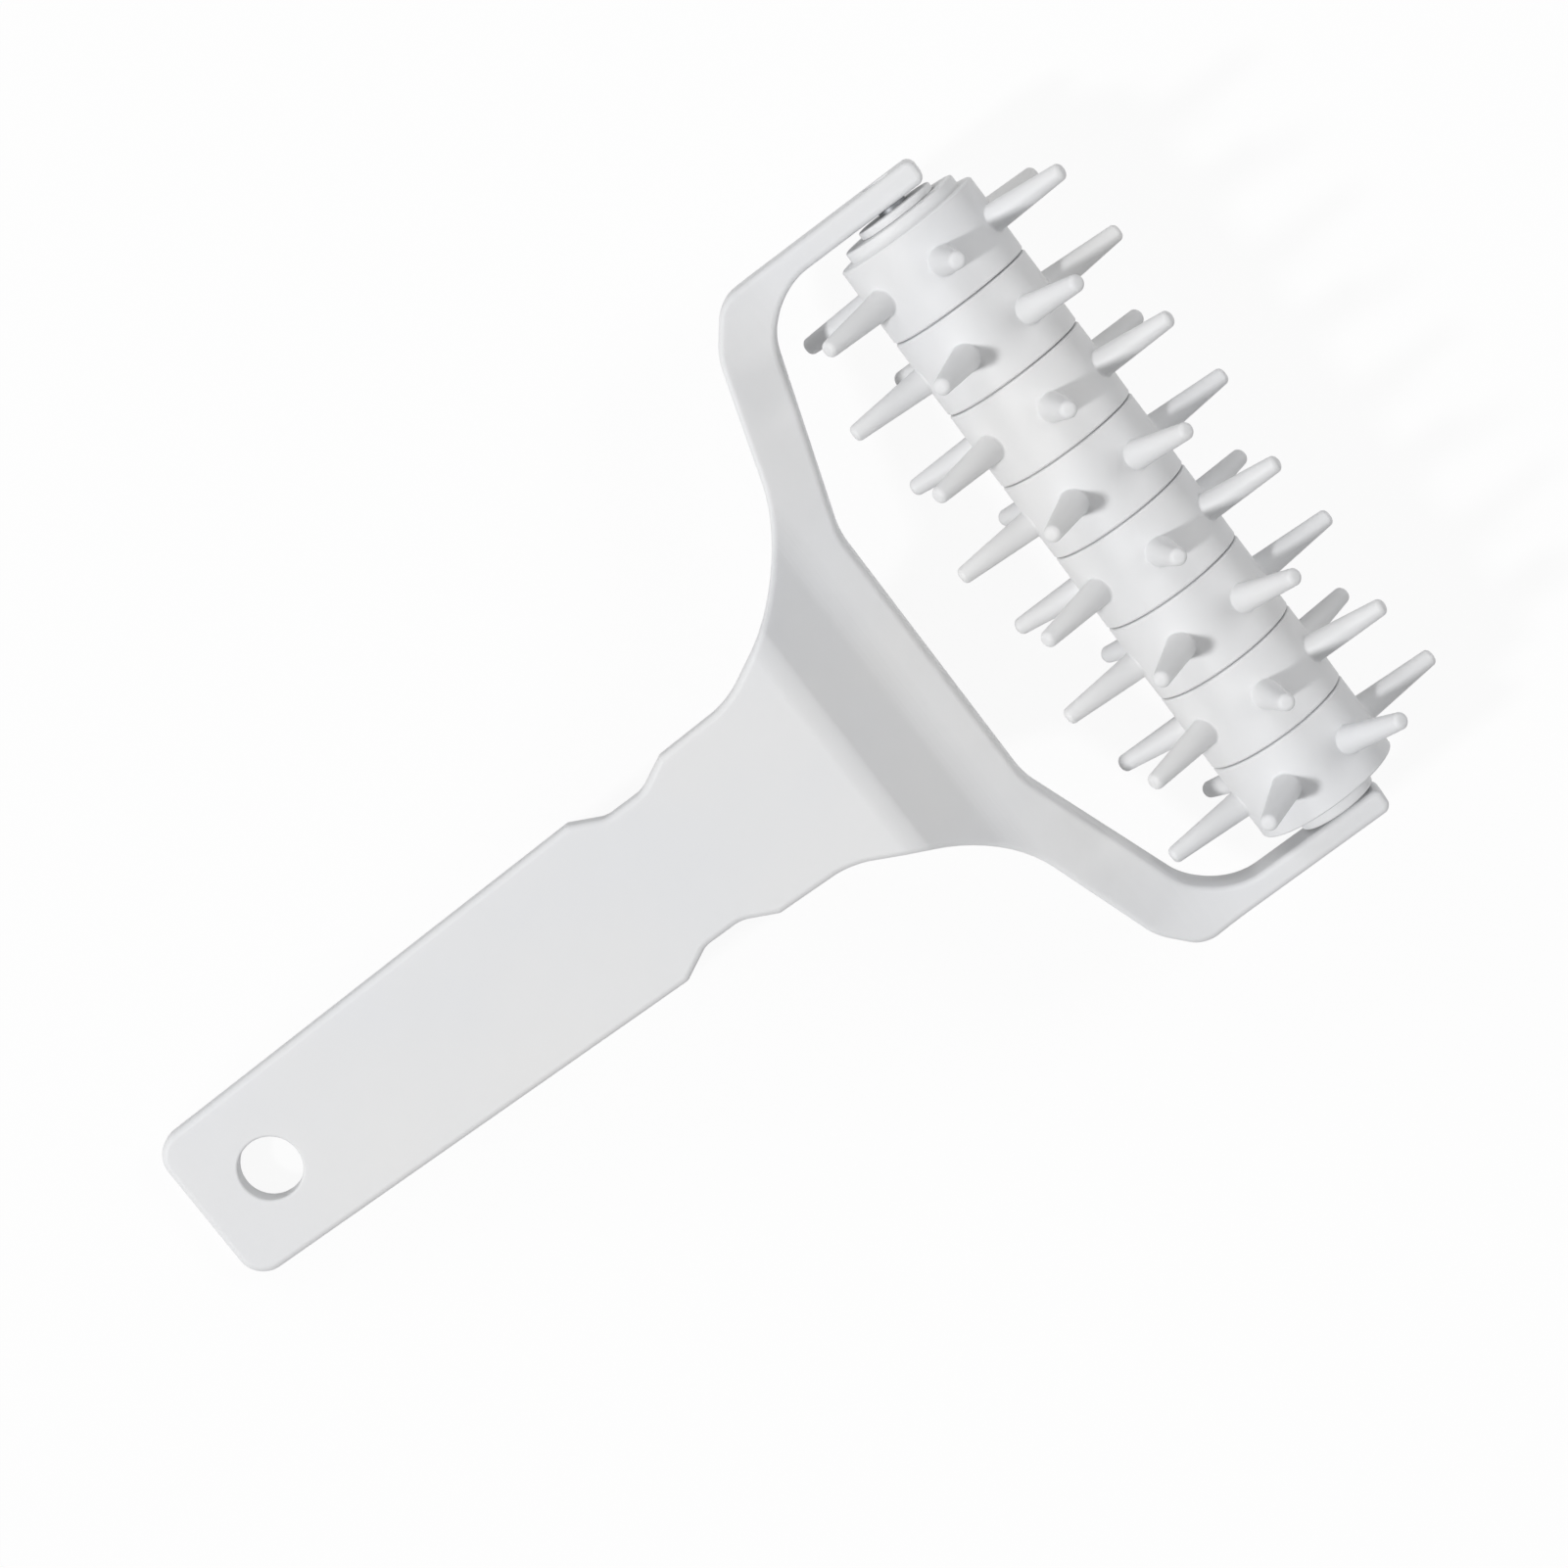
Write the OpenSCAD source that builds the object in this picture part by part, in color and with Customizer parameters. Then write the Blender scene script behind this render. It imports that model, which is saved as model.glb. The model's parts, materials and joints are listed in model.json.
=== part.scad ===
// Dough docker: a paddle handle and fork moulded in one piece, and a roller of
// spiked rings on a square shaft that turns on a steel pin across the fork.
// X runs along the axle, Y from the handle to the roller, Z is up.
// The docker lies on a table at z = 0, on its lowest spikes and the end of its handle.

/* [Roller] */
// Length of one spiked ring along the axle, seam included
ring_pitch = 14.3; // [12:0.1:18]
// Diameter of the drum that the rings make up
drum_d = 25.3; // [21:0.1:32]
// Distance from the axle to the end of a spike
spike_reach = 26.8; // [22:0.1:34]
// Diameter of a spike where it leaves the drum
spike_base_d = 4.8; // [3.8:0.1:6]
// Diameter of a spike at its blunt end
spike_tip_d = 2.8; // [2:0.1:3.4]
// Rounding of the edge of a spike's blunt end
spike_edge_r = 0.9; // [0.3:0.1:0.9]
// Open seam between two rings
seam_gap = 0.2; // [0.1:0.05:0.4]
// Bevel of a ring's outer edges
ring_bevel = 0.5; // [0.2:0.1:1]
// Width of the step from the drum in to a ring's locating boss
ring_rim = 2.25; // [1.5:0.05:3]
// Length of the locating boss
boss_l = 2; // [1.2:0.1:3]
// Clearance round and behind a boss in the next ring
boss_clearance = 0.2; // [0.1:0.05:0.3]
// How far the roller is turned at rest, from its first spikes pointing forward
rest_turn = 7; // [0:1:30]

/* [Shaft and pin] */
// Width across the flats of the square shaft that turns the rings
key_w = 9; // [8:0.1:10]
// Clearance on each side of the square shaft
key_clearance = 0.1; // [0.05:0.01:0.15]
// Lip of the round collars past the corners of the square shaft
collar_lip = 0.5; // [0.3:0.1:2]
// Length of the collar on the head of the shaft
head_l = 1.3; // [1:0.1:2]
// Length of the collar on the end cap
cap_l = 2.8; // [2:0.1:4]
// Diameter of the steel pin
pin_d = 5; // [4:0.1:6]
// Radial running clearance of the shaft on the pin
running_clearance = 0.08; // [0.03:0.01:0.1]
// Radial clearance of the pin in the fork, where it is pressed in
seat_clearance = 0.02; // [0.01:0.01:0.03]
// How far the pin's ends lie below the outside of the fork
pin_recess = 0.3; // [0.1:0.1:0.6]

/* [Fork] */
// Play between the roller's collars and each arm
end_play = 0.7; // [0.4:0.1:1.2]
// Thickness of an arm along the axle
arm_t = 4.2; // [3.4:0.1:6]
// Depth of an arm from its upper to its lower face
arm_depth = 9; // [8:0.1:12]
// Distance from the axle to the front end of an arm
arm_tip = 6.9; // [6:0.1:10]
// Rounding of the upper and lower edges of an arm's front end
arm_end_r = 1.2; // [0.4:0.1:4]
// Gap between the circle of the spike ends and the edge of the web
web_gap = 10.6; // [8:0.1:16]
// Width of the straight middle of the web's edge
web_w = 49.2; // [40:0.1:58]
// How far the arms' shoulders lie forward of the web's edge
shoulder_rise = 12.1; // [9:0.1:14]
// Width of the slanted part of an arm, seen from above
shoulder_w = 11.4; // [10:0.1:14]
// Thickness of the web
web_t = 4.2; // [3.4:0.1:5]
// Radius of the inside corners of the fork
fork_corner_r = 13; // [8:0.5:14]

/* [Handle] */
// Height of the handle's upper face above the axle
handle_rise = 25.5; // [22:0.1:32]
// Thickness of the handle
handle_t = 4; // [3:0.1:6]
// Length of the handle from the edge of the web to its end
handle_l = 145.6; // [120:0.2:180]
// Width of the handle at its end
end_w = 27.4; // [22:0.1:32]
// Width of the handle at the finger grips
grip_w = 31.4; // [26:0.1:36]
// Depth of each finger grip
grip_depth = 2.8; // [1.6:0.1:4.5]
// Length of the finger grips
grip_l = 18.2; // [16:0.1:26]
// Distance from the web's edge to the finger grips
grip_from_edge = 42.2; // [40:0.1:60]
// Width of the neck between the grips and the web
neck_w = 32.2; // [27:0.1:36]
// Radius of the corners at the handle's end
end_corner_r = 4.6; // [2:0.1:6]
// Rounding of the upper and lower edges of the handle's end
end_edge_r = 0.8; // [0.3:0.1:1.2]
// Diameter of the hanging hole
hang_d = 10.4; // [6:0.1:13]
// Distance from the handle's end to the middle of the hanging hole
hang_from_end = 13.6; // [11:0.1:20]

/* [Hidden] */
plastic_white = [0.90, 0.90, 0.91];
steel_grey = [0.72, 0.73, 0.75];
past = 1; // how far a cut runs past what it cuts
sink = 0.01; // how far joined shapes run into each other

// Facets of round shapes, and the turn of one step along a rounded corner
round_fn = 96;
spike_fn = 32;
arc_step = 7.5;
tip_step = 22.5;

// A quarter turn of the square shaft staggers six spikes by half their spacing
ring_count = 8;
spikes_per_ring = 6;
spike_spacing = 360 / spikes_per_ring;
quarter_turn = 90;
stagger = spike_spacing / 2;
spike_root = 1.5;

// Places along the axle, from the middle of the fork
drum_l = ring_count * ring_pitch;
roller_l = head_l + boss_l + drum_l + cap_l;
roller_x0 = -roller_l / 2;
drum_x0 = roller_x0 + head_l + boss_l;
drum_x1 = drum_x0 + drum_l;
arm_in_x = roller_l / 2 + end_play;
arm_out_x = arm_in_x + arm_t;
boss_d = drum_d - 2 * ring_rim;
collar_d = sqrt(2) * key_w + 2 * collar_lip;
shaft_bore_d = pin_d + 2 * running_clearance;
fork_bore_d = pin_d + 2 * seat_clearance;
pin_l = 2 * (arm_out_x - pin_recess);

// Places along the handle, from the axle
edge_y = -(spike_reach + web_gap);
end_y = edge_y - handle_l;
hole_y = end_y + hang_from_end;
shoulder_y = edge_y + shoulder_rise;
under_z = handle_rise - handle_t;
arm_top_z = arm_depth / 2;

// Fall of the web from the handle's level: steep from the crease, gentler from the bend
crease_from_edge = 18.6;
bend_from_edge = 7.1;
web_slope = 48.4;
edge_slope = 28;
crease_y = edge_y - crease_from_edge;
bend_y = edge_y - bend_from_edge;
bend_z = handle_rise - (bend_y - crease_y) * tan(web_slope);
arm_start_y = bend_y + (bend_z - arm_top_z) / tan(edge_slope);

// Lean of the docker as it lies on its spikes and the lower edge of its handle's end
tip_r = spike_tip_d / 2;
spike_l = spike_reach - spike_edge_r;
tip_flat_r = tip_r - spike_edge_r;
spike_turns = [for (i = [0:2 * spikes_per_ring]) rest_turn + stagger * i];
lowest_spike = min([for (turn = spike_turns) abs(turn - 270)]);
axle_z = spike_l * cos(lowest_spike) + tip_flat_r * sin(lowest_spike) + spike_edge_r;
foot_y = end_y + end_edge_r;
foot_z = under_z + end_edge_r;
lean = atan2(foot_z, -foot_y) + asin((axle_z - end_edge_r) / norm([foot_y, foot_z]));

// The origin lies on the table, in the middle of the docker's length and width
foremost_spike = min([for (turn = spike_turns) abs(turn - 360)]);
reach_front = spike_l * cos(foremost_spike) + tip_flat_r * sin(foremost_spike) + spike_edge_r;
back_z = handle_rise - end_edge_r;
reach_back = back_z * sin(lean) - foot_y * cos(lean) + end_edge_r;
axle_y = (reach_back - reach_front) / 2;

// Points of one rounded corner at b, between its neighbours a and c
function round_corner(a, b, c, r) =
    let (u = (a - b) / norm(a - b), v = (c - b) / norm(c - b), half = acos(u * v) / 2)
    let (centre = b + (u + v) / norm(u + v) * r / sin(half))
    let (from = b + u * r / tan(half) - centre, to = b + v * r / tan(half) - centre)
    let (a0 = atan2(from.y, from.x), swing = atan2(to.y, to.x) - a0)
    let (turn = swing > 180 ? swing - 360 : swing < -180 ? swing + 360 : swing)
    let (n = max(1, ceil(abs(turn) / arc_step)))
    [for (i = [0:n]) centre + r * [cos(a0 + turn * i / n), sin(a0 + turn * i / n)]];

// Closed outline through corners given as [x, y, radius]
function rounded(corners) =
    let (n = len(corners), at = [for (k = corners) [k.x, k.y]])
    [for (i = [0:n - 1]) each corners[i][2] <= 0
        ? [at[i]]
        : round_corner(at[(i + n - 1) % n], at[i], at[(i + 1) % n], corners[i][2])];

// Mirror image of a half outline, in the order that closes the loop
function mirrored(half) = [for (i = [len(half) - 1:-1:0]) [-half[i].x, half[i].y, half[i][2]]];

// Right half of the plan of handle and fork, from the handle's end round to the web's edge
grip_y1 = edge_y - grip_from_edge;
grip_y0 = grip_y1 - grip_l;
grip_x = grip_w / 2;
grip_ramp = 5.6;
neck_x = neck_w / 2;
neck_y = edge_y - 28.7;
neck_heading = 63;
shoulder_slope = atan(shoulder_rise / (arm_in_x - web_w / 2)) - 1;
shoulder_out_y = shoulder_y - shoulder_w / 2 + 0.4;
slant_x = arm_out_x - 6.6;
slant_y = shoulder_out_y - 5.3;
flare = (slant_y - neck_y - (slant_x - neck_x) * tan(shoulder_slope))
    / (tan(neck_heading) - tan(shoulder_slope));
flare_l = flare / cos(neck_heading);
flare_r = 0.64 * flare_l / tan((neck_heading - shoulder_slope) / 2);
plan_half = [
    [end_w / 2, end_y, end_corner_r],
    [grip_x, grip_y0, 1.6],
    [grip_x - grip_depth, grip_y0 + grip_ramp, 4],
    [grip_x - grip_depth, grip_y1 - grip_ramp, 6],
    [grip_x, grip_y1, 1.2],
    [neck_x, neck_y, 16],
    [neck_x + flare, neck_y + flare * tan(neck_heading), flare_r],
    [slant_x, slant_y, 12],
    [arm_out_x, shoulder_out_y, 6],
    [arm_out_x, arm_tip, 1.6],
    [arm_in_x, arm_tip, 1.4],
    [arm_in_x, shoulder_y, fork_corner_r],
    [web_w / 2, edge_y, 14]
];

// Side of the handle and fork as [y, z, radius]: the upper line, then the under line
web_drop = web_t / cos(web_slope);
heel_z = bend_z - web_drop + 0.6;
heel_y = crease_y + (handle_rise - web_drop - heel_z) / tan(web_slope);
under_bend_y = crease_y - (under_z - handle_rise + web_drop) / tan(web_slope);
arm_under_y = arm_start_y + 3;
side_line = [
    [end_y, handle_rise, end_edge_r],
    [crease_y, handle_rise, 6],
    [bend_y, bend_z, 20],
    [arm_start_y, arm_top_z, 12],
    [arm_tip, arm_top_z, arm_end_r],
    [arm_tip, -arm_top_z, arm_end_r],
    [arm_under_y, -arm_top_z, 6],
    [heel_y, heel_z, 14],
    [under_bend_y, under_z, 3],
    [end_y, under_z, end_edge_r]
];

// Puts what is drawn round the axle, handle level, where the docker lies on the table
module lying() {
    translate([0, axle_y, axle_z]) rotate([lean, 0, 0]) children();
}

// Puts what is drawn round the axle in the roller's place
module on_axle() {
    translate([0, axle_y, axle_z]) children();
}

// A round bar along X between two places on the axle
module bar(x0, x1, d) {
    translate([x0, 0, 0]) rotate([0, 90, 0]) cylinder(h = x1 - x0, d = d, $fn = round_fn);
}

// A square bar along X, turned with the roller
module square_bar(x0, x1, w) {
    rotate([rest_turn, 0, 0]) translate([x0, -w / 2, -w / 2]) cube([x1 - x0, w, w]);
}

// Handle, web and fork arms in one moulding, with the hanging hole and the pin's seats
module handle_frame() {
    side_x = arm_out_x + past;
    color(plastic_white) lying() difference() {
        intersection() {
            translate([0, 0, -arm_depth])
                linear_extrude(height = arm_depth + handle_rise + past)
                    polygon(rounded(concat(plan_half, mirrored(plan_half))));
            rotate([90, 0, 90]) translate([0, 0, -side_x])
                linear_extrude(height = 2 * side_x) polygon(rounded(side_line));
        }
        translate([0, hole_y, under_z - past])
            cylinder(h = handle_t + 2 * past, d = hang_d, $fn = round_fn);
        bar(-side_x, side_x, fork_bore_d);
    }
}

// Steel pin pressed into both arms, on which the shaft turns
module axle_pin() {
    color(steel_grey) on_axle() bar(-pin_l / 2, pin_l / 2, pin_d);
}

// Square shaft with a round head, which keys the rings to each other
module drive_shaft() {
    color(plastic_white) on_axle() difference() {
        union() {
            bar(roller_x0, roller_x0 + head_l, collar_d);
            square_bar(roller_x0 + head_l - sink, -roller_x0 - pin_recess, key_w);
        }
        bar(roller_x0 - past, -roller_x0 + past, shaft_bore_d);
    }
}

// Cap pressed on the square end of the shaft, with a boss that fills the last ring's recess
module end_cap() {
    color(plastic_white) on_axle() difference() {
        union() {
            bar(drum_x1 - boss_l, drum_x1, boss_d);
            bar(drum_x1 - sink, -roller_x0, collar_d);
        }
        square_bar(drum_x1 - boss_l - past, -roller_x0 + past, key_w + 2 * seat_clearance);
    }
}

// Conical spike with a blunt, rounded end, pointing along Y and rooted in the drum's wall
module spike() {
    taper = (spike_base_d - spike_tip_d) / 2 / (spike_l - drum_d / 2);
    root_y = drum_d / 2 - spike_root;
    blunt_end = [for (a = [0:tip_step:90])
        [tip_flat_r + spike_edge_r * cos(a), spike_l + spike_edge_r * sin(a)]];
    rotate([-90, 0, 0]) rotate_extrude($fn = spike_fn) polygon(concat(
        [[0, root_y], [spike_base_d / 2 + spike_root * taper, root_y]],
        blunt_end,
        [[0, spike_reach]]
    ));
}

// Outside of one ring, from its left face to the seam
module drum() {
    r = drum_d / 2;
    l = ring_pitch - seam_gap;
    c = ring_bevel;
    rotate([0, 90, 0]) rotate_extrude($fn = round_fn)
        polygon([[0, 0], [r - c, 0], [r, c], [r, l - c], [r - c, l], [0, l]]);
}

// One ring: drum with rounded edges, boss, recess for the next boss, square hole and spikes
module ring(number) {
    x0 = drum_x0 + (number - 1) * ring_pitch;
    x1 = x0 + ring_pitch;
    turn = rest_turn + number * quarter_turn;
    color(plastic_white) on_axle() difference() {
        union() {
            translate([x0, 0, 0]) drum();
            bar(x0 - boss_l, x0 + past, boss_d);
            for (i = [0:spikes_per_ring - 1])
                translate([x0 + ring_pitch / 2, 0, 0])
                    rotate([turn + i * spike_spacing, 0, 0]) spike();
        }
        bar(x1 - boss_l - boss_clearance, x1 + past, boss_d + 2 * boss_clearance);
        square_bar(x0 - boss_l - past, x1 + past, key_w + 2 * key_clearance);
    }
}

handle_frame();
axle_pin();
drive_shaft();
end_cap();
ring(1);  // ring_1
ring(2);  // ring_2
ring(3);  // ring_3
ring(4);  // ring_4
ring(5);  // ring_5
ring(6);  // ring_6
ring(7);  // ring_7
ring(8);  // ring_8
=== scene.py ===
import json
import math

import bmesh
import bpy
from mathutils import Matrix, Vector


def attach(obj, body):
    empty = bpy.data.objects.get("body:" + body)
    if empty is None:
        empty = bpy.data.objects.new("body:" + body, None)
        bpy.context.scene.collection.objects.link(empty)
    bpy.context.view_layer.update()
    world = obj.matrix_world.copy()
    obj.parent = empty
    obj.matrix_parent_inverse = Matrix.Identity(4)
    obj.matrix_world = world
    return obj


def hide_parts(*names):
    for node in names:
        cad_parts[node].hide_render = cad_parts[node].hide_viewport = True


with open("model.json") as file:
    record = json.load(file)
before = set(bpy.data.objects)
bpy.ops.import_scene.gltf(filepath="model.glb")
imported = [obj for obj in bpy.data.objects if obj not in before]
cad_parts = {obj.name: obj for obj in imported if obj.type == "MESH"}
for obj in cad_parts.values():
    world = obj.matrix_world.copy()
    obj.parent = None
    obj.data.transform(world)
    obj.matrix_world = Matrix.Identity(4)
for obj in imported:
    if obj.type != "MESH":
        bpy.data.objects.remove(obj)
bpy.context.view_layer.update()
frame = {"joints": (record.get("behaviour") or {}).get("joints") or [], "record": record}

# Sizes are in millimetres round the axle, with the handle level: X along the axle, Y from the
# handle to the roller, Z up. A finished mesh is brought to metres, where the docker lies.
MM = 0.001
joint = frame["joints"][0]
hang_hole = frame["record"]["mounts"][0]
AXLE = Vector(joint["pos_m"])
LEAN = math.atan2(-hang_hole["axis"][1], hang_hole["axis"][2])
ON_AXLE = Matrix.Translation(AXLE) @ Matrix.Scale(MM, 4)
LYING = ON_AXLE @ Matrix.Rotation(LEAN, 4, "X")

# Roller
RING_PITCH = 14.3
RING_COUNT = 8
SEAM = 0.2
DRUM_R = 12.65
BOSS_R = 10.4
BOSS_L = 2.0
BOSS_CLEARANCE = 0.2
KEY_W = 9.0
KEY_CLEARANCE = 0.1
CAP_CLEARANCE = 0.02
COLLAR_R = 6.864
HEAD_L = 1.3
ROLLER_END = 60.25
REST_TURN = 7
QUARTER_TURN = 90
SPIKES = 6
SPIKE_REACH = 26.8
SPIKE_BASE_R = 2.4
SPIKE_TIP_R = 1.4
SPIKE_EDGE_R = 0.9
DRUM_X0 = -ROLLER_END + HEAD_L + BOSS_L
DRUM_X1 = DRUM_X0 + RING_COUNT * RING_PITCH
AT_REST = ON_AXLE @ Matrix.Rotation(math.radians(REST_TURN), 4, "X")

# Pin
PIN_R = 2.5
SHAFT_BORE_R = 2.58
SEAT_R = 2.52
PIN_RECESS = 0.3

# Handle and fork
ARM_IN_X = 60.95
ARM_OUT_X = 65.15
ARM_TOP = 4.5
ARM_TIP = 6.9
EDGE_Y = -37.4
END_Y = -183.0
HOLE_Y = -169.4
HOLE_R = 5.2
TOP_Z = 25.5
UNDER_Z = 21.5

# Roundings of edges, as moulded
TOP_EDGE = 1.1
UNDER_EDGE = 0.8
HOLE_EDGE = 0.45
BORE_EDGE = 0.25
DRUM_EDGE = 0.5
BOSS_EDGE = 0.35
RECESS_EDGE = 0.3
COLLAR_EDGE = 0.3
HEAD_INNER_EDGE = 0.15
CAP_EDGE = 0.4
CAP_HOLE_CORNER = 0.38
KEY_CORNER = 0.4
SQUARE_HOLE_CORNER = 0.3
PIN_EDGE = 0.3
# Flare at a spike's foot, and how far a ring's ends lie below its middle
FILLET = 0.3
CROWN = 0.05

# Mesh making: faces round a turned piece, a bore, the hanging hole and a spike
ROUND_STEPS = 96
BORE_STEPS = 64
HOLE_STEPS = 72
SPIKE_STEPS = 36
# Slices along a ring, which carry its crown
CROWN_SLICES = 14
# Bore that rings and cap are turned with, which their square hole takes away
FIRST_BORE_R = 3.0
# A cutting shape reaches this far past what it cuts
PAST = 1
# Faces thinner than this are merged away after a cut
SLIVER = 0.003


def linear(hex_colour):
    """Linear colour of an sRGB hex value."""
    parts = [int(hex_colour[i:i + 2], 16) / 255 for i in (0, 2, 4)]
    return [c / 12.92 if c <= 0.04045 else ((c + 0.055) / 1.055) ** 2.4 for c in parts] + [1.0]


# Shapes

def round_corner(bm, vert, radius):
    """Bevels the corner between a vertex's two edges as an arc of that radius."""
    u, v = [(edge.other_vert(vert).co - vert.co).normalized() for edge in vert.link_edges]
    half = (math.pi - u.angle(v)) / 2
    # A bevel's curve is an arc only at a right angle, so its reach is set to pass the arc's middle
    reach = radius * (1 / math.cos(half) - 1) / (2 * (1 - math.sqrt(0.5)) * math.sin(half))
    steps = max(2, math.ceil(math.degrees(2 * half) / 4))
    bmesh.ops.bevel(bm, geom=[vert], offset=reach, offset_type="OFFSET", segments=steps, profile=0.5,
                    affect="VERTICES", material=-1, clamp_overlap=False)


def wire(bm, corners, closed=True):
    """Edges through corners (x, y, rounding)."""
    verts = [bm.verts.new((x, y, 0)) for x, y, _ in corners]
    following = verts[1:] + verts[:1] if closed else verts[1:]
    for pair in zip(verts, following):
        bm.edges.new(pair)
    for vert, (_, _, radius) in zip(verts, corners):
        if radius:
            round_corner(bm, vert, radius)


def spin_round(bm, steps, merge):
    """Turns a profile once round the X axis, merges its seam and poles, and faces it outwards."""
    bmesh.ops.spin(bm, geom=bm.verts[:] + bm.edges[:], cent=(0, 0, 0), axis=(1, 0, 0),
                   angle=2 * math.pi, steps=steps, use_merge=True, use_duplicate=False)
    bmesh.ops.remove_doubles(bm, verts=bm.verts, dist=merge)
    bmesh.ops.recalc_face_normals(bm, faces=bm.faces)


def turned(corners):
    """Solid turned round the X axis from a closed profile of corners (x, radius, rounding)."""
    bm = bmesh.new()
    wire(bm, corners)
    spin_round(bm, ROUND_STEPS, 1e-4)
    return bm


def cut(bm, place, across):
    """Cuts the faces along a plane, and keeps both sides."""
    bmesh.ops.bisect_plane(bm, geom=bm.verts[:] + bm.edges[:] + bm.faces[:],
                           plane_co=place, plane_no=across, dist=1e-4)


def square_bar(x0, x1, width, corner):
    """Square bar along X with rounded long edges."""
    bm = bmesh.new()
    bmesh.ops.create_cube(bm, size=1)
    bmesh.ops.scale(bm, verts=bm.verts, vec=(x1 - x0, width, width))
    bmesh.ops.translate(bm, verts=bm.verts, vec=((x0 + x1) / 2, 0, 0))
    long_edges = [e for e in bm.edges if abs(e.verts[0].co.x - e.verts[1].co.x) > width / 100]
    bmesh.ops.bevel(bm, geom=long_edges, offset=corner, offset_type="OFFSET", segments=4, profile=0.5,
                    affect="EDGES", material=-1)
    return bm


def round_bar(x0, x1, radius, steps=BORE_STEPS):
    """Round bar along X."""
    bm = bmesh.new()
    bmesh.ops.create_cone(bm, cap_ends=True, segments=steps, radius1=radius, radius2=radius, depth=x1 - x0)
    bmesh.ops.rotate(bm, verts=bm.verts, cent=(0, 0, 0), matrix=Matrix.Rotation(math.pi / 2, 3, "Y"))
    bmesh.ops.translate(bm, verts=bm.verts, vec=((x0 + x1) / 2, 0, 0))
    return bm


def scratch_object(bm):
    """Object that holds a solid while a modifier works on it."""
    mesh = bpy.data.meshes.new("scratch")
    bm.to_mesh(mesh)
    bm.free()
    obj = bpy.data.objects.new("scratch", mesh)
    bpy.context.scene.collection.objects.link(obj)
    return obj


def evaluated(obj):
    """Mesh of an object with its modifiers applied, and the object removed."""
    depsgraph = bpy.context.evaluated_depsgraph_get()
    mesh = bpy.data.meshes.new_from_object(obj.evaluated_get(depsgraph))
    bm = bmesh.new()
    bm.from_mesh(mesh)
    bpy.data.objects.remove(obj)
    bpy.data.meshes.remove(mesh)
    return bm


def combine(base, other, operation):
    """Exact union or difference of two solids."""
    base_object, other_object = scratch_object(base), scratch_object(other)
    boolean = base_object.modifiers.new("combine", "BOOLEAN")
    boolean.operation = operation
    boolean.solver = "EXACT"
    boolean.object = other_object
    result = evaluated(base_object)
    bpy.data.objects.remove(other_object)
    return result


def without_slivers(bm):
    """The solid without the hair-thin faces that cutting leaves."""
    bmesh.ops.remove_doubles(bm, verts=bm.verts, dist=SLIVER)
    bmesh.ops.dissolve_degenerate(bm, dist=SLIVER, edges=bm.edges)
    return bm


def joined(*parts):
    """One bmesh of several, which don't touch."""
    bm = bmesh.new()
    for part in parts:
        mesh = bpy.data.meshes.new("part")
        part.to_mesh(mesh)
        part.free()
        bm.from_mesh(mesh)
        bpy.data.meshes.remove(mesh)
    return bm


def circle_edges(bm, x, radius, slack=0.02):
    """Edges on the circle at a place along X, round the X axis."""
    def on_circle(v):
        return abs(v.co.x - x) < slack and abs(math.hypot(v.co.y, v.co.z) - radius) < slack
    return [e for e in bm.edges if all(on_circle(v) for v in e.verts)]


def soften(bm, edges, width, segments=3):
    """Rounds edges by a width."""
    bmesh.ops.bevel(bm, geom=edges, offset=width, offset_type="OFFSET", segments=segments, profile=0.5,
                    affect="EDGES", material=-1, clamp_overlap=True, loop_slide=True)


def piece(name, bm, place, body, node, material):
    """Finished piece that stands for a node and rides on its body."""
    bmesh.ops.transform(bm, verts=bm.verts, matrix=place)
    mesh = bpy.data.meshes.new(name)
    bm.to_mesh(mesh)
    bm.free()
    mesh.materials.clear()
    mesh.materials.append(material)
    mesh.shade_smooth()
    obj = bpy.data.objects.new(name, mesh)
    bpy.context.scene.collection.objects.link(obj)
    # Large faces keep their own normal, so that roundings shade smoothly into them
    normals = obj.modifiers.new("normals", "WEIGHTED_NORMAL")
    normals.mode = "FACE_AREA"
    normals.weight = 50
    normals.keep_sharp = True
    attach(obj, body)
    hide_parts(node)
    return obj


# Materials

def add(tree, kind, settings=None, links=None):
    """Node with its settings and its input links, given as {socket: output socket}."""
    node = tree.nodes.new(kind)
    for name, value in (settings or {}).items():
        if name in node.inputs:
            node.inputs[name].default_value = value
        else:
            setattr(node, name, value)
    for name, source in (links or {}).items():
        tree.links.new(source, node.inputs[name])
    return node


def new_material(name):
    """Material, its node tree and its Principled shader."""
    material = bpy.data.materials.new(name)
    material.use_nodes = True
    return material, material.node_tree, material.node_tree.nodes["Principled BSDF"]


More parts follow.
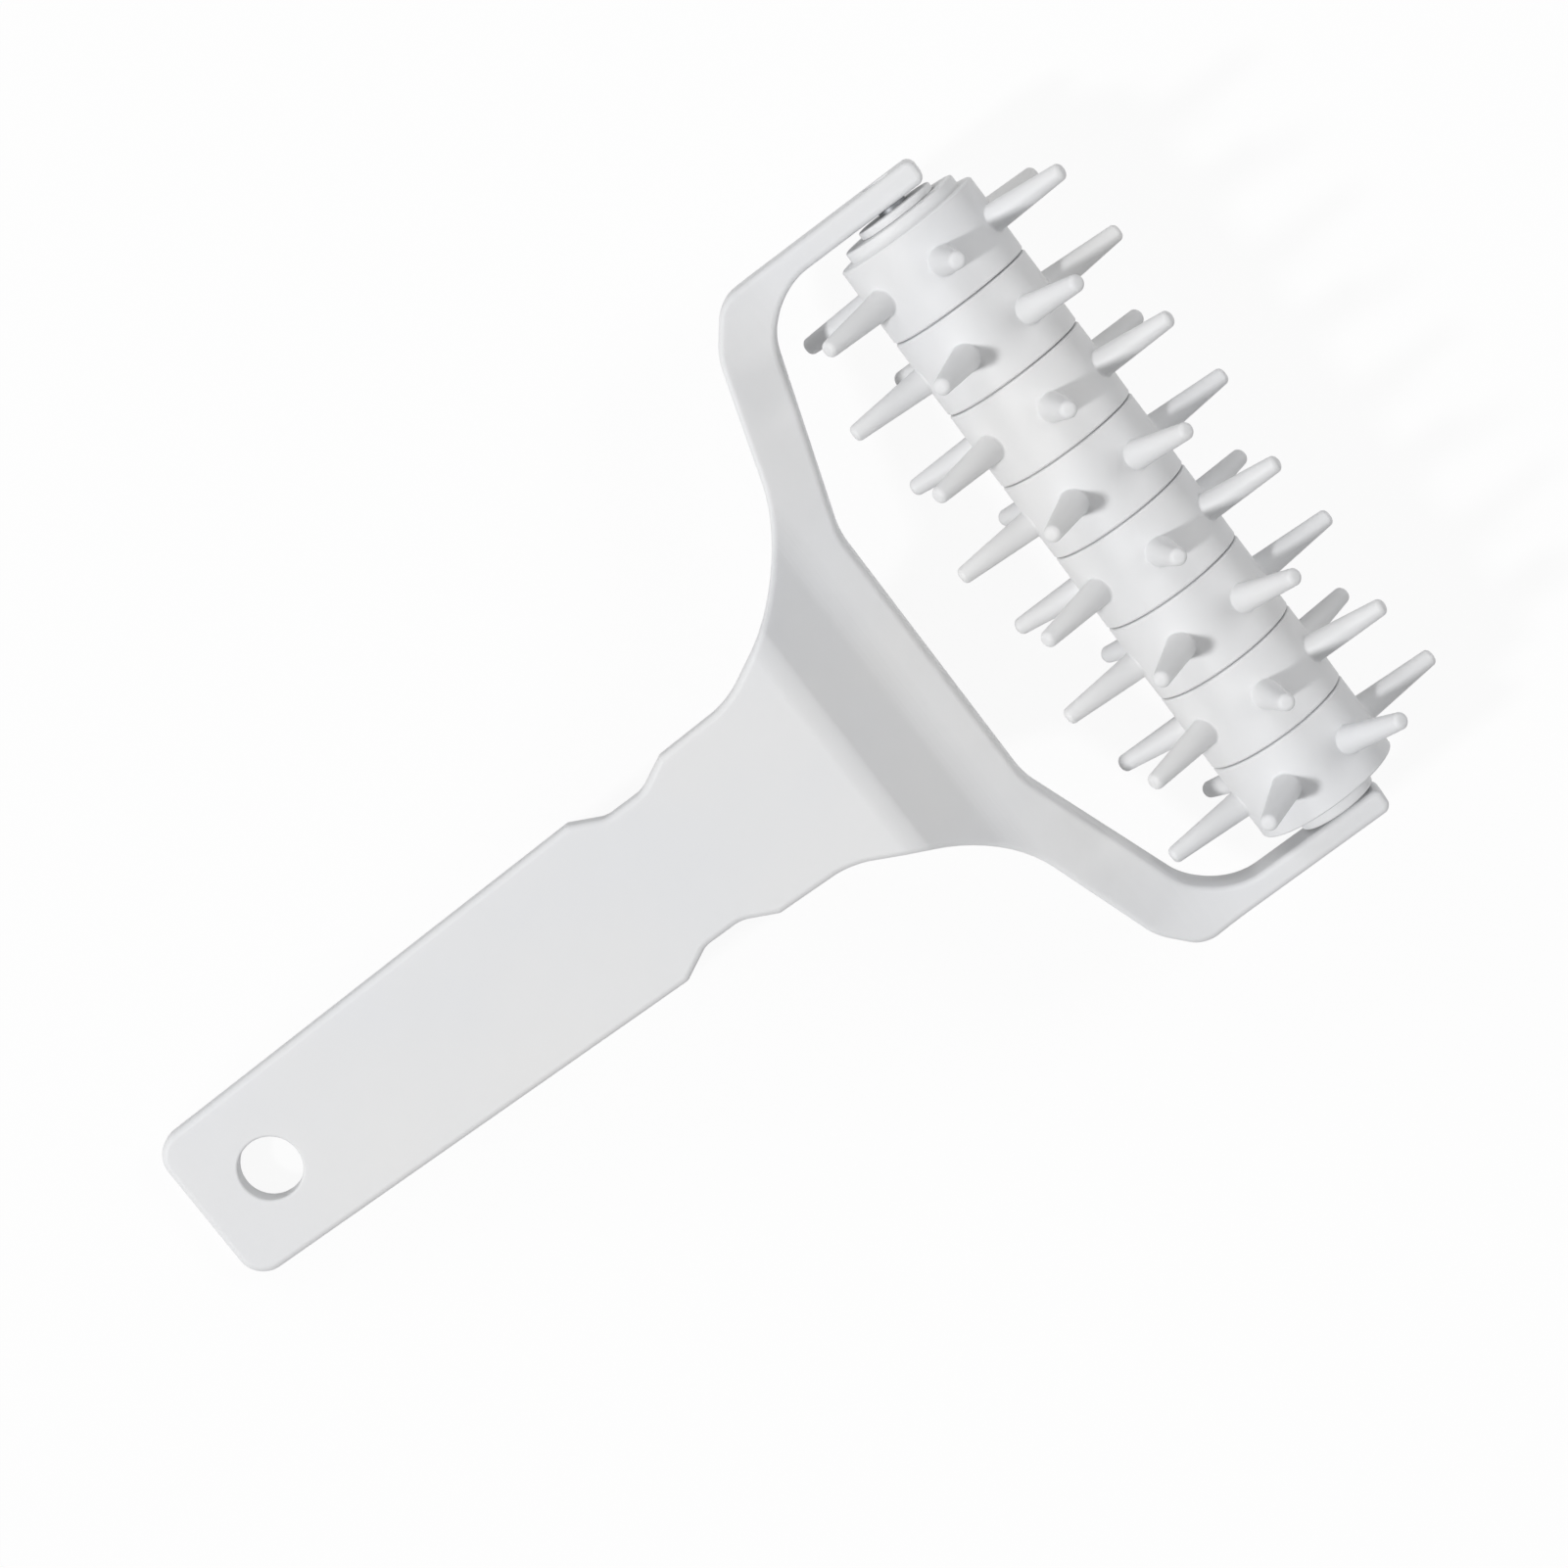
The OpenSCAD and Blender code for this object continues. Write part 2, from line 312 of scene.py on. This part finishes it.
def moulded_white_plastic():
    """Injection-moulded white polypropylene: satin, with a faint cloudiness from the flow of the melt
    and the fine grain of the spark-eroded mould."""
    material, tree, shader = new_material("moulded_white_plastic")
    place = add(tree, "ShaderNodeTexCoord").outputs["Object"]
    # Clouds are about 38 mm across, and patches of more or less sheen about 9 mm
    cloud = add(tree, "ShaderNodeTexNoise", {"Scale": 1 / (38 * MM), "Detail": 2.0, "Roughness": 0.45},
                {"Vector": place})
    tint = add(tree, "ShaderNodeValToRGB", links={"Fac": cloud.outputs["Fac"]})
    tint.color_ramp.elements[0].position = 0.32
    tint.color_ramp.elements[0].color = linear("e6e7e9")
    tint.color_ramp.elements[1].position = 0.68
    tint.color_ramp.elements[1].color = linear("e9e9e9")
    tree.links.new(tint.outputs["Color"], shader.inputs["Base Color"])
    sheen_map = add(tree, "ShaderNodeTexNoise", {"Scale": 1 / (9 * MM), "Detail": 3.0}, {"Vector": place})
    gloss = add(tree, "ShaderNodeMapRange", {"To Min": 0.46, "To Max": 0.60},
                {"Value": sheen_map.outputs["Fac"]})
    tree.links.new(gloss.outputs["Result"], shader.inputs["Roughness"])
    # The real grain is about 0.05 mm; it is drawn at 0.35 mm so that it shows
    grain = add(tree, "ShaderNodeTexNoise", {"Scale": 1 / (0.35 * MM), "Detail": 2.0}, {"Vector": place})
    fine = add(tree, "ShaderNodeBump", {"Strength": 0.25, "Distance": 0.012 * MM},
               {"Height": grain.outputs["Fac"]})
    # Slow waviness of cooled plastic, which breaks up the highlights
    wave = add(tree, "ShaderNodeTexNoise", {"Scale": 1 / (7 * MM), "Detail": 1.0}, {"Vector": place})
    bump = add(tree, "ShaderNodeBump", {"Strength": 0.5, "Distance": 0.10 * MM},
               {"Height": wave.outputs["Fac"], "Normal": fine.outputs["Normal"]})
    tree.links.new(bump.outputs["Normal"], shader.inputs["Normal"])
    shader.inputs["IOR"].default_value = 1.49
    # Light goes about 1 mm into the plastic
    shader.inputs["Subsurface Weight"].default_value = 0.3
    shader.inputs["Subsurface Radius"].default_value = (1, 1, 1)
    shader.inputs["Subsurface Scale"].default_value = 1.2 * MM
    return material


def drawn_steel():
    """Cold-drawn steel rod: bright grey metal with fine lines along its length."""
    material, tree, shader = new_material("drawn_steel")
    place = add(tree, "ShaderNodeTexCoord").outputs["Object"]
    # The real drawing lines are about 0.05 mm apart; they are drawn 0.15 mm apart so that they show,
    # and 25 mm long
    stretch = add(tree, "ShaderNodeMapping", {"Scale": (1 / (25 * MM), 1 / (0.15 * MM), 1 / (0.15 * MM))},
                  {"Vector": place})
    lines = add(tree, "ShaderNodeTexNoise", {"Scale": 1.0, "Detail": 3.0},
                {"Vector": stretch.outputs["Vector"]})
    tone = add(tree, "ShaderNodeValToRGB", links={"Fac": lines.outputs["Fac"]})
    tone.color_ramp.elements[0].color = linear("84868a")
    tone.color_ramp.elements[1].color = linear("9b9da0")
    tree.links.new(tone.outputs["Color"], shader.inputs["Base Color"])
    gloss = add(tree, "ShaderNodeMapRange", {"To Min": 0.45, "To Max": 0.60}, {"Value": lines.outputs["Fac"]})
    tree.links.new(gloss.outputs["Result"], shader.inputs["Roughness"])
    bump = add(tree, "ShaderNodeBump", {"Strength": 0.3, "Distance": 0.01 * MM},
               {"Height": lines.outputs["Fac"]})
    tree.links.new(bump.outputs["Normal"], shader.inputs["Normal"])
    shader.inputs["Metallic"].default_value = 1.0
    return material


PLASTIC = moulded_white_plastic()
STEEL = drawn_steel()


# Handle and fork, one moulding

CREASE_Y = EDGE_Y - 18.6
BEND_Y = EDGE_Y - 7.1
WEB_SLOPE = math.radians(48.4)
EDGE_SLOPE = math.radians(28)
WEB_T = 4.2
BEND_Z = TOP_Z - (BEND_Y - CREASE_Y) * math.tan(WEB_SLOPE)
ARM_START_Y = BEND_Y + (BEND_Z - ARM_TOP) / math.tan(EDGE_SLOPE)
WEB_DROP = WEB_T / math.cos(WEB_SLOPE)
# The under side bends a little higher than an even thickness gives, and reaches the arm later
HEEL_LIFT = 0.6
UNDER_ARM_DELAY = 3
HEEL_Z = BEND_Z - WEB_DROP + HEEL_LIFT
HEEL_Y = CREASE_Y + (TOP_Z - WEB_DROP - HEEL_Z) / math.tan(WEB_SLOPE)
UNDER_BEND_Y = CREASE_Y - (UNDER_Z - TOP_Z + WEB_DROP) / math.tan(WEB_SLOPE)
# Side view of the top and the under side, as (y, z, rounding)
TOP_LINE = [
    (END_Y - 1, TOP_Z, 0), (CREASE_Y, TOP_Z, 6), (BEND_Y, BEND_Z, 20), (ARM_START_Y, ARM_TOP, 34),
    (ARM_TIP + 1, ARM_TOP, 0)
]
UNDER_LINE = [
    (END_Y - 1, UNDER_Z, 0), (UNDER_BEND_Y, UNDER_Z, 3), (HEEL_Y, HEEL_Z, 14),
    (ARM_START_Y + UNDER_ARM_DELAY, -ARM_TOP, 6), (ARM_TIP + 1, -ARM_TOP, 0)
]
GRIP_Y1 = EDGE_Y - 42.2
GRIP_Y0 = GRIP_Y1 - 18.2
SHOULDER_Y = EDGE_Y + 12.1
# Right half of the plan, from the handle's end round to the web's edge, as (x, y, rounding)
PLAN_HALF = [
    (13.7, END_Y, 4.6),
    (15.7, GRIP_Y0, 1.6),
    (12.9, GRIP_Y0 + 5.6, 4),
    (12.9, GRIP_Y1 - 5.6, 6),
    (15.7, GRIP_Y1, 1.2),
    (16.1, EDGE_Y - 28.7, 16),
    (26.34, -46.0, 34.35),
    (58.55, -35.9, 12),
    (ARM_OUT_X, -30.6, 6),
    (ARM_OUT_X, ARM_TIP, 1.6),
    (ARM_IN_X, ARM_TIP, 1.4),
    (ARM_IN_X, SHOULDER_Y, 13),
    (24.6, EDGE_Y, 14),
]
# Thickness of the plate before it is bent
PLATE = 20.0
# Cuts across the handle, as distances from its end, and along it, which keep its flat faces small, so
# that they shade evenly
CUTS_ACROSS = (6, 22, 38, 54, 70, 86, 102, 114)
CUTS_ALONG = (-10, 10)


def rounded_line(corners):
    """Points (y, z) of an open line whose corners (y, z, radius) are rounded."""
    bm = bmesh.new()
    wire(bm, corners, closed=False)
    points = sorted((v.co.x, v.co.y) for v in bm.verts)
    bm.free()
    return points


def height_at(points, y):
    """Height of a line of points (y, z) at a place along it."""
    for (y0, z0), (y1, z1) in zip(points, points[1:]):
        if y0 <= y <= y1:
            return z0 + (z1 - z0) * (y - y0) / (y1 - y0)
    return points[-1][1]


def edge_softness(edge):
    """Width of the rounding of a plate's edge: none for upright edges and for the cut through the
    hanging hole, and otherwise by where the edge lies."""
    a, b = [v.co for v in edge.verts]
    upright = abs(a.z - b.z) > PLATE / 2
    on_cut = abs(a.y - HOLE_Y) < 1e-3 and abs(b.y - HOLE_Y) < 1e-3
    if upright or on_cut:
        return 0
    middle = (a + b) / 2
    if math.hypot(middle.x, middle.y - HOLE_Y) < HOLE_R + 0.5:
        return HOLE_EDGE
    return UNDER_EDGE if middle.z < PLATE / 2 else TOP_EDGE


def plate_with_hole():
    """Flat plate of the plan's shape with the hanging hole."""
    bm = bmesh.new()
    wire(bm, PLAN_HALF + [(-x, y, r) for x, y, r in reversed(PLAN_HALF)])
    bmesh.ops.contextual_create(bm, geom=bm.edges[:])
    # A face can't hold a hole, so a cut runs across the plan through the hanging hole's centre
    cut(bm, (0, HOLE_Y, 0), (0, 1, 0))
    top = bmesh.ops.extrude_face_region(bm, geom=bm.faces[:])
    raised = [v for v in top["geom"] if isinstance(v, bmesh.types.BMVert)]
    bmesh.ops.translate(bm, verts=raised, vec=(0, 0, PLATE))
    bmesh.ops.recalc_face_normals(bm, faces=bm.faces)
    punch = bmesh.new()
    bmesh.ops.create_cone(punch, cap_ends=True, segments=HOLE_STEPS, radius1=HOLE_R, radius2=HOLE_R,
                          depth=3 * PLATE)
    bmesh.ops.translate(punch, verts=punch.verts, vec=(0, HOLE_Y, 0))
    return combine(bm, punch, "DIFFERENCE")


def with_soft_edges(bm):
    """The plate with each edge rounded by its own width."""
    widths = bm.edges.layers.float.new("bevel_weight_edge")
    for edge in bm.edges:
        edge[widths] = edge_softness(edge) / TOP_EDGE
    plate = scratch_object(bm)
    bevel = plate.modifiers.new("edges", "BEVEL")
    bevel.limit_method = "WEIGHT"
    bevel.width = TOP_EDGE
    bevel.segments = 5
    bevel.profile = 0.5
    bevel.use_clamp_overlap = False
    return evaluated(plate)


def bend_to_side_view(bm):
    """Brings the plate's top and under side to the handle's side view."""
    top_line, under_line = rounded_line(TOP_LINE), rounded_line(UNDER_LINE)
    cuts = [((0, p[0], 0), (0, 1, 0)) for p in top_line[1:-1] + under_line[1:-1]]
    cuts += [((0, END_Y + distance, 0), (0, 1, 0)) for distance in CUTS_ACROSS]
    cuts += [((x, 0, 0), (1, 0, 0)) for x in CUTS_ALONG]
    for place, across in sorted(cuts):
        cut(bm, place, across)
    for v in bm.verts:
        if v.co.z > PLATE / 2:
            v.co.z = height_at(top_line, v.co.y) - (PLATE - v.co.z)
        else:
            v.co.z = height_at(under_line, v.co.y) + v.co.z


def handle_and_fork():
    """Handle, web and both arms in one moulding, with the pin's seats."""
    bm = with_soft_edges(plate_with_hole())
    bend_to_side_view(bm)
    seats = round_bar(-ARM_OUT_X - PAST, ARM_OUT_X + PAST, SEAT_R)
    bm = combine(bm, seats, "DIFFERENCE")
    for x in (-ARM_OUT_X, -ARM_IN_X, ARM_IN_X, ARM_OUT_X):
        soften(bm, circle_edges(bm, x, SEAT_R), BORE_EDGE, 2)
    piece("handle_and_fork", bm, LYING, "frame", "handle_frame", PLASTIC)


# Roller

def spike():
    """Spike along Y: a slender cone with a blunt, rounded end, flared where it meets the drum."""
    taper = (SPIKE_BASE_R - SPIKE_TIP_R) / (SPIKE_REACH - SPIKE_EDGE_R - DRUM_R)
    flare_top = DRUM_R + FILLET
    foot_r = SPIKE_BASE_R + FILLET
    # The foot starts inside the drum's wall, and the end is a shallow dome
    root = DRUM_R - 1.2
    foot = DRUM_R - 0.03
    dome = 0.12
    bm = bmesh.new()
    wire(bm, [
        (root, 0, 0), (root, foot_r, 0), (foot, foot_r, 0), (foot, SPIKE_BASE_R, FILLET),
        (SPIKE_REACH - dome, SPIKE_TIP_R - dome * taper, SPIKE_EDGE_R), (SPIKE_REACH, 0, 0)
    ])
    closing = [e for e in bm.edges if all(abs(v.co.y) < 1e-6 for v in e.verts)]
    bmesh.ops.delete(bm, geom=closing, context="EDGES_FACES")
    shaft = max(bm.edges, key=lambda e: e.calc_length())
    bmesh.ops.subdivide_edges(bm, edges=[shaft], cuts=5)
    spin_round(bm, SPIKE_STEPS, 1e-3)
    bmesh.ops.rotate(bm, verts=bm.verts, cent=(0, 0, 0), matrix=Matrix.Rotation(math.pi / 2, 3, "Z"))
    # The flare follows the drum's curve down on both sides of the spike
    for v in bm.verts:
        if v.co.y < flare_top:
            share = min(1, (flare_top - v.co.y) / FILLET)
            v.co.y -= share * (DRUM_R - math.sqrt(DRUM_R ** 2 - min(v.co.z ** 2, DRUM_R ** 2)))
    return bm


def ring_solid():
    """One ring with its left face at x = 0: crowned drum, boss, recess, square hole and six spikes."""
    length = RING_PITCH - SEAM
    recess_x = RING_PITCH - BOSS_L - BOSS_CLEARANCE
    recess_r = BOSS_R + BOSS_CLEARANCE
    bm = turned([
        (-BOSS_L, FIRST_BORE_R, 0), (-BOSS_L, BOSS_R, BOSS_EDGE), (0, BOSS_R, 0),
        (0, DRUM_R, DRUM_EDGE), (length, DRUM_R, DRUM_EDGE), (length, recess_r, RECESS_EDGE),
        (recess_x, recess_r, 0), (recess_x, FIRST_BORE_R, 0)
    ])
    for i in range(1, CROWN_SLICES):
        cut(bm, (length * i / CROWN_SLICES, 0, 0), (1, 0, 0))
    for v in bm.verts:
        r = math.hypot(v.co.y, v.co.z)
        if r > DRUM_R - 0.01:
            along = 2 * v.co.x / length - 1
            grow = 1 - CROWN * along * along / r
            v.co.y *= grow
            v.co.z *= grow
    spikes = []
    for i in range(SPIKES):
        one = spike()
        bmesh.ops.translate(one, verts=one.verts, vec=(RING_PITCH / 2, 0, 0))
        bmesh.ops.rotate(one, verts=one.verts, cent=(0, 0, 0),
                         matrix=Matrix.Rotation(2 * math.pi * i / SPIKES, 3, "X"))
        spikes.append(one)
    bm = combine(bm, joined(*spikes), "UNION")
    hole = square_bar(-BOSS_L - PAST, RING_PITCH + PAST, KEY_W + 2 * KEY_CLEARANCE, SQUARE_HOLE_CORNER)
    return without_slivers(combine(bm, hole, "DIFFERENCE"))


def rings():
    """The eight rings, each a quarter turn from the next."""
    solid = ring_solid()
    for number in range(1, RING_COUNT + 1):
        turn = math.radians(REST_TURN + QUARTER_TURN * number)
        place = (ON_AXLE @ Matrix.Translation((DRUM_X0 + (number - 1) * RING_PITCH, 0, 0))
                 @ Matrix.Rotation(turn, 4, "X"))
        piece("spiked_ring_%d" % number, solid.copy(), place, "roller", "ring_%d" % number,
              PLASTIC)
    solid.free()


def shaft_with_head():
    """Square shaft with its round head, bored for the pin."""
    bm = turned([
        (-ROLLER_END, SHAFT_BORE_R, HEAD_INNER_EDGE), (-ROLLER_END, COLLAR_R, COLLAR_EDGE),
        (-ROLLER_END + HEAD_L, COLLAR_R, HEAD_INNER_EDGE), (-ROLLER_END + HEAD_L, SHAFT_BORE_R, 0)
    ])
    end = ROLLER_END - PIN_RECESS
    # The bar starts inside the head, so that the two join
    overlap = 0.3
    bar = square_bar(-ROLLER_END + HEAD_L - overlap, end, KEY_W, KEY_CORNER)
    bar = combine(bar, round_bar(-ROLLER_END, end + PAST, SHAFT_BORE_R), "DIFFERENCE")
    bm = without_slivers(combine(bm, bar, "UNION"))
    piece("square_shaft", bm, AT_REST, "roller", "drive_shaft", PLASTIC)


def shaft_cap():
    """Cap on the shaft's far end, with a boss that fills the last ring's recess."""
    bm = turned([
        (DRUM_X1 - BOSS_L, FIRST_BORE_R, 0), (DRUM_X1 - BOSS_L, BOSS_R, RECESS_EDGE),
        (DRUM_X1, BOSS_R, RECESS_EDGE), (DRUM_X1, COLLAR_R, CAP_EDGE),
        (ROLLER_END, COLLAR_R, CAP_EDGE), (ROLLER_END, FIRST_BORE_R, 0)
    ])
    hole = square_bar(DRUM_X1 - BOSS_L - PAST, ROLLER_END + PAST, KEY_W + 2 * CAP_CLEARANCE,
                      CAP_HOLE_CORNER)
    bm = without_slivers(combine(bm, hole, "DIFFERENCE"))
    piece("shaft_cap", bm, AT_REST, "roller", "end_cap", PLASTIC)


def steel_pin():
    """Pin through both arms and the shaft."""
    end = ARM_OUT_X - PIN_RECESS
    bm = round_bar(-end, end, PIN_R, ROUND_STEPS)
    for x in (-end, end):
        soften(bm, circle_edges(bm, x, PIN_R), PIN_EDGE)
    piece("steel_pin", bm, ON_AXLE, "frame", "axle_pin", STEEL)


handle_and_fork()
rings()
shaft_with_head()
shaft_cap()
steel_pin()


# Camera: almost overhead, a little to the left and towards the handle, as in the photograph
EYE = (-109.55, -86.81, 707.19)
TURN = (-2.3168, -11.8516, 51.9944)
LENS = 101.19
SENSOR = 36

camera_data = bpy.data.cameras.new("camera")
camera_data.lens = LENS
camera_data.sensor_width = SENSOR
camera_data.clip_start = 0.05
camera = bpy.data.objects.new("camera", camera_data)
camera.location = Vector(EYE) * MM
camera.rotation_euler = [math.radians(a) for a in TURN]
bpy.context.scene.collection.objects.link(camera)
bpy.context.scene.camera = camera


# Light

LOOK_Z = 20 * MM
FLOOR_REACH = 2
FLOOR_WHITE = 0.92


def area_light(name, direction, distance, size, power):
    """Square lamp that looks at the roller's middle from a direction (azimuth from -Y, elevation)."""
    azimuth, elevation = [math.radians(a) for a in direction]
    towards = Vector((-math.sin(azimuth) * math.cos(elevation), -math.cos(azimuth) * math.cos(elevation),
                      math.sin(elevation)))
    data = bpy.data.lights.new(name, "AREA")
    data.energy = power
    data.size = size
    obj = bpy.data.objects.new(name, data)
    obj.location = Vector((0, 0, LOOK_Z)) + towards * distance
    obj.rotation_euler = towards.to_track_quat("Z", "Y").to_euler()
    bpy.context.scene.collection.objects.link(obj)


def seen_directly(tree):
    """1 for the rays that show a thing straight to the camera, in a reflection or through glass."""
    path = add(tree, "ShaderNodeLightPath")
    seen = path.outputs["Is Camera Ray"]
    for other in ("Is Glossy Ray", "Is Transmission Ray"):
        either = add(tree, "ShaderNodeMath", {"operation": "MAXIMUM"})
        tree.links.new(seen, either.inputs[0])
        tree.links.new(path.outputs[other], either.inputs[1])
        seen = either.outputs["Value"]
    return seen


area_light("key", (10, 40), 6.0, 0.45, 208)
area_light("fill", (180, 40), 2.2, 1.0, 11.5)
area_light("side", (80, 30), 3.0, 1.2, 14)

world = bpy.data.worlds.new("studio")
bpy.context.scene.world = world
world.use_nodes = True
background = world.node_tree.nodes["Background"]
background.inputs["Color"].default_value = (1, 1, 1, 1)
# The world lights the docker softly and shows white
strength = add(world.node_tree, "ShaderNodeMapRange", {"To Min": 0.26, "To Max": 1.0},
               {"Value": seen_directly(world.node_tree)})
world.node_tree.links.new(strength.outputs["Result"], background.inputs["Strength"])


def studio_floor():
    """White floor that stays white to the camera and in reflections, and keeps the docker's shadow.
    The share of plain white is FLOOR_WHITE, and it reaches FLOOR_REACH metres each way."""
    bm = bmesh.new()
    bmesh.ops.create_grid(bm, x_segments=1, y_segments=1, size=FLOOR_REACH)
    mesh = bpy.data.meshes.new("floor")
    bm.to_mesh(mesh)
    bm.free()
    floor = bpy.data.objects.new("floor", mesh)
    bpy.context.scene.collection.objects.link(floor)
    material, tree, shader = new_material("studio_floor")
    shader.inputs["Roughness"].default_value = 0.9
    seen = seen_directly(tree)
    # A Mix node's colours are its sockets 6 and 7, and its mixed colour is its output 2
    tone = add(tree, "ShaderNodeMix", {"data_type": "RGBA"})
    tree.links.new(seen, tone.inputs["Factor"])
    tone.inputs[6].default_value = linear("c8c8c8")
    tone.inputs[7].default_value = linear("fafafa")
    tree.links.new(tone.outputs[2], shader.inputs["Base Color"])
    share = add(tree, "ShaderNodeMath", {"operation": "MULTIPLY"})
    tree.links.new(seen, share.inputs[0])
    share.inputs[1].default_value = FLOOR_WHITE
    white = add(tree, "ShaderNodeEmission", {"Color": (1, 1, 1, 1), "Strength": 1.0})
    mix = add(tree, "ShaderNodeMixShader", links={"Fac": share.outputs["Value"]})
    tree.links.new(shader.outputs["BSDF"], mix.inputs[1])
    tree.links.new(white.outputs["Emission"], mix.inputs[2])
    tree.links.new(mix.outputs["Shader"], tree.nodes["Material Output"].inputs["Surface"])
    mesh.materials.append(material)


studio_floor()
bpy.context.scene.view_settings.view_transform = "Standard"
